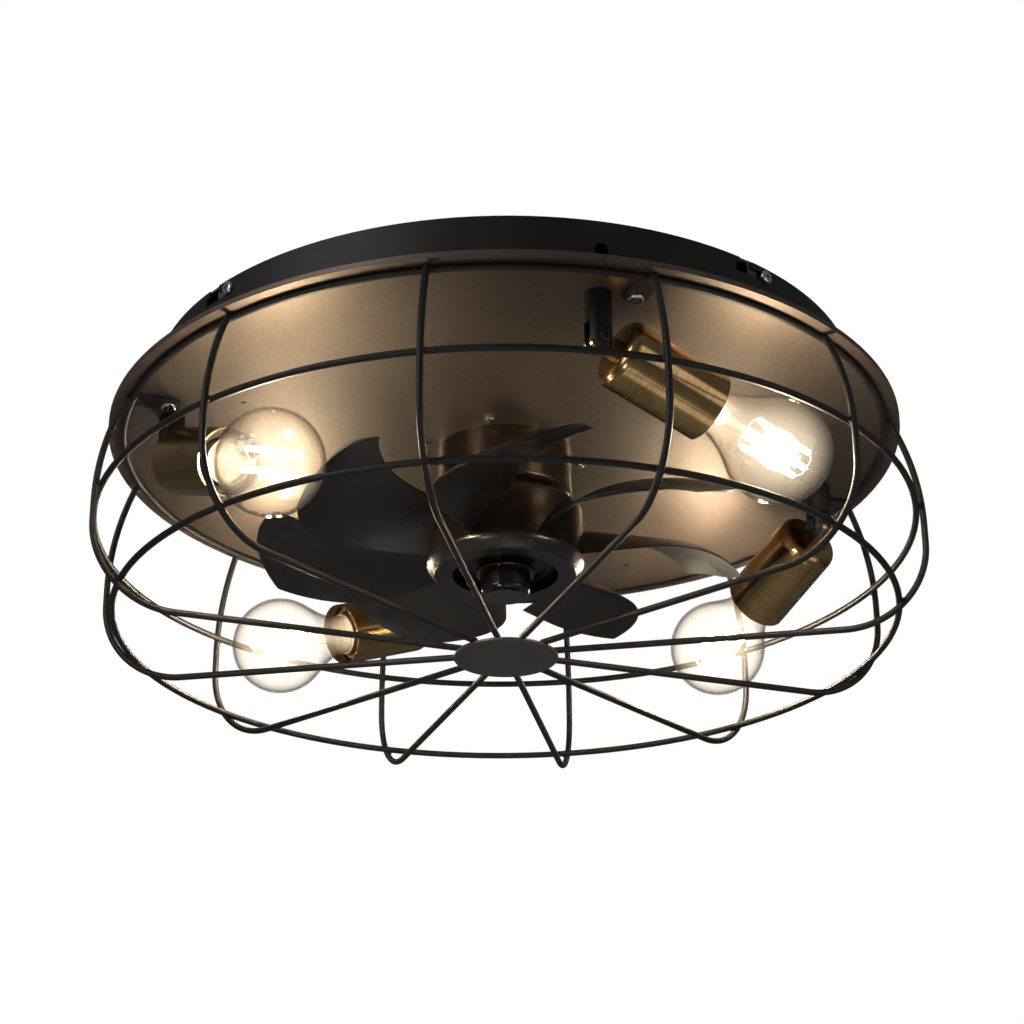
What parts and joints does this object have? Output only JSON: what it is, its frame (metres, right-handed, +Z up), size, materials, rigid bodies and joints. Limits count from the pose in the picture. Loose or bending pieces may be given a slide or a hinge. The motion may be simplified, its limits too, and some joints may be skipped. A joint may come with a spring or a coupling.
{
  "type": "ceiling fan with light",
  "caption": "Flush caged ceiling fan: round canopy, bronze reflector plate, wire cage, spinning curved blades and tilting globe lamps around the hub.",
  "frame": {"origin": "centre of the ceiling face, on the fan's axis, at the top of the ceiling plate", "axes": "+Z up towards the ceiling and along the fan's axis; -Y towards the side seen first"},
  "size_m": [0.4834, 0.4834, 0.1716],
  "materials": {
    "zinc_steel": "zinc-plated sheet steel",
    "nickel": "nickel-plated pan-head screws",
    "black_screw": "black-finished steel screws",
    "black_paint": "satin black powder coat",
    "bronze_plate": "satin sandy bronze lacquer",
    "terminal_plastic": "natural polyamide",
    "driver_plastic": "moulded white plastic",
    "dark_bronze": "dark bronze lacquer",
    "stator_steel": "laminated steel core",
    "bearing_steel": "ground bearing steel",
    "drum_bronze": "glossy dark bronze lacquer",
    "end_plate_black": "black paint",
    "ferrite": "sintered ferrite",
    "hub_black": "satin black plastic",
    "knob_black": "glossy black plastic",
    "blade_black": "matt black plastic",
    "antique_brass": "brushed antique brass",
    "socket_black": "dark brown-black phenolic lampholder",
    "bulb_cap": "drawn bulb cap",
    "bulb_glass": "clear blown glass"
  },
  "bodies": {
    "fixture": {"ceiling_plate": "zinc_steel", "canopy_screws": "nickel", "canopy": "black_paint", "reflector_plate": "bronze_plate", "terminal_block": "terminal_plastic", "driver_box": "driver_plastic", "motor_bracket": "zinc_steel", "motor_screws": "nickel", "motor_cup": "dark_bronze", "motor_shaft": "zinc_steel", "motor_stator": "stator_steel", "cage_ring_upper": "black_paint", "cage_ring_middle": "black_paint", "cage_ring_lower": "black_paint", "cage_wire_01": "black_paint", "cage_wire_02": "black_paint", "cage_wire_03": "black_paint", "cage_wire_04": "black_paint", "cage_wire_05": "black_paint", "cage_wire_06": "black_paint", "cage_wire_07": "black_paint", "cage_wire_08": "black_paint", "cage_wire_09": "black_paint", "cage_wire_10": "black_paint", "cage_wire_11": "black_paint", "cage_wire_12": "black_paint", "cage_disc": "black_paint", "cage_tabs": "black_paint", "tab_screws": "nickel", "lamp_posts": "black_paint", "knuckle_screws": "black_screw"},
    "rotor": {"motor_bearings": "bearing_steel", "rotor_drum": "drum_bronze", "rotor_end_plate": "end_plate_black", "magnet_ring": "ferrite", "hub_ring": "hub_black", "hub_knob": "knob_black", "blade_1": "blade_black", "blade_2": "blade_black", "blade_3": "blade_black", "blade_4": "blade_black", "blade_5": "blade_black", "blade_6": "blade_black", "blade_7": "blade_black"},
    "lamp_1": {"lamp_cup_1": "antique_brass", "lamp_socket_1": "socket_black", "bulb_base_1": "bulb_cap", "bulb_glass_1": "bulb_glass"},
    "lamp_2": {"lamp_cup_2": "antique_brass", "lamp_socket_2": "socket_black", "bulb_base_2": "bulb_cap", "bulb_glass_2": "bulb_glass"},
    "lamp_3": {"lamp_cup_3": "antique_brass", "lamp_socket_3": "socket_black", "bulb_base_3": "bulb_cap", "bulb_glass_3": "bulb_glass"},
    "lamp_4": {"lamp_cup_4": "antique_brass", "lamp_socket_4": "socket_black", "bulb_base_4": "bulb_cap", "bulb_glass_4": "bulb_glass"}
  },
  "joints": [
    {"name": "rotor_spin", "type": "hinge", "parent": "fixture", "child": "rotor", "pos_m": [0, 0, -0.095], "axis": [0, 0, 1], "continuous": true},
    {"name": "lamp_tilt_1", "type": "hinge", "parent": "fixture", "child": "lamp_1", "pos_m": [0.04975, -0.19237, -0.0676], "axis": [-0.5075, 0.8616, 0], "range_deg": [-12, 10]},
    {"name": "lamp_tilt_2", "type": "hinge", "parent": "fixture", "child": "lamp_2", "pos_m": [0.19237, 0.04975, -0.0676], "axis": [-0.8616, -0.5075, 0], "range_deg": [-12, 10]},
    {"name": "lamp_tilt_3", "type": "hinge", "parent": "fixture", "child": "lamp_3", "pos_m": [-0.04975, 0.19237, -0.0676], "axis": [0.5446, -0.8387, 0], "range_deg": [-12, 10]},
    {"name": "lamp_tilt_4", "type": "hinge", "parent": "fixture", "child": "lamp_4", "pos_m": [-0.19237, -0.04975, -0.0676], "axis": [0.7986, 0.6018, 0], "range_deg": [-12, 10]}
  ]
}
